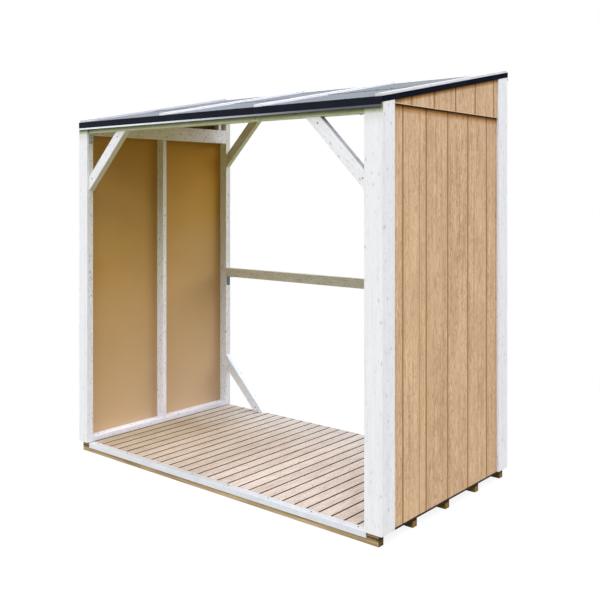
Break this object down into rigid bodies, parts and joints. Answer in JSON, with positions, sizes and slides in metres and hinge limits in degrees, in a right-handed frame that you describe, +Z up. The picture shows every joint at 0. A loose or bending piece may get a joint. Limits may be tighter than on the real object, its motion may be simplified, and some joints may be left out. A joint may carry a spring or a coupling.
{
  "type": "log store",
  "caption": "Open-fronted timber log store with panelled side walls, braced front and rear frames, slatted floor on bearers and a sloping felted roof.",
  "frame": {"origin": "on the ground at the middle of the footprint", "axes": "+X to the right seen from the front, +Y to the back, +Z up"},
  "size_m": [2.266, 1.256, 2.2786],
  "materials": {
    "white_timber": "white painted softwood with knots showing faintly",
    "treated_timber": "brown pressure-treated softwood",
    "deck_timber": "planed bare softwood",
    "oak_panel": "wood-grain hardboard sheet, smooth brown back",
    "bare_timber": "sawn bare softwood",
    "roof_board": "bare strand board",
    "roofing_felt": "grey mineral felt",
    "edge_metal": "black satin folded sheet",
    "sill_metal": "pale satin aluminium",
    "zinc_steel": "galvanised steel, dull"
  },
  "bodies": {
    "root": {"bearer_1": "treated_timber", "bearer_2": "treated_timber", "bearer_3": "treated_timber", "bearer_4": "treated_timber", "bearer_5": "treated_timber", "corner_brackets": "zinc_steel", "deck_boards": "deck_timber", "front_corner_boards": "white_timber", "front_header": "white_timber", "front_sill": "sill_metal", "front_trim": "edge_metal", "left_bottom_plate": "white_timber", "left_center_stud": "white_timber", "left_front_brace": "white_timber", "left_front_post": "white_timber", "left_gable_panel": "oak_panel", "left_gable_stud": "white_timber", "left_rear_lower_brace": "white_timber", "left_rear_post": "white_timber", "left_rear_upper_brace": "white_timber", "left_side_corner_boards": "white_timber", "left_side_trim": "edge_metal", "left_top_plate": "white_timber", "left_wall_panel": "oak_panel", "rafters": "bare_timber", "rear_corner_boards": "white_timber", "rear_header": "white_timber", "rear_rail": "white_timber", "rear_trim": "edge_metal", "right_bottom_plate": "white_timber", "right_center_stud": "white_timber", "right_front_brace": "white_timber", "right_front_post": "white_timber", "right_gable_panel": "oak_panel", "right_gable_stud": "white_timber", "right_rear_lower_brace": "white_timber", "right_rear_post": "white_timber", "right_rear_upper_brace": "white_timber", "right_side_corner_boards": "white_timber", "right_side_trim": "edge_metal", "right_top_plate": "white_timber", "right_wall_panel": "oak_panel", "roof_battens": "white_timber", "roof_board": "roof_board", "roof_felt": "roofing_felt"}
  },
  "joints": []
}
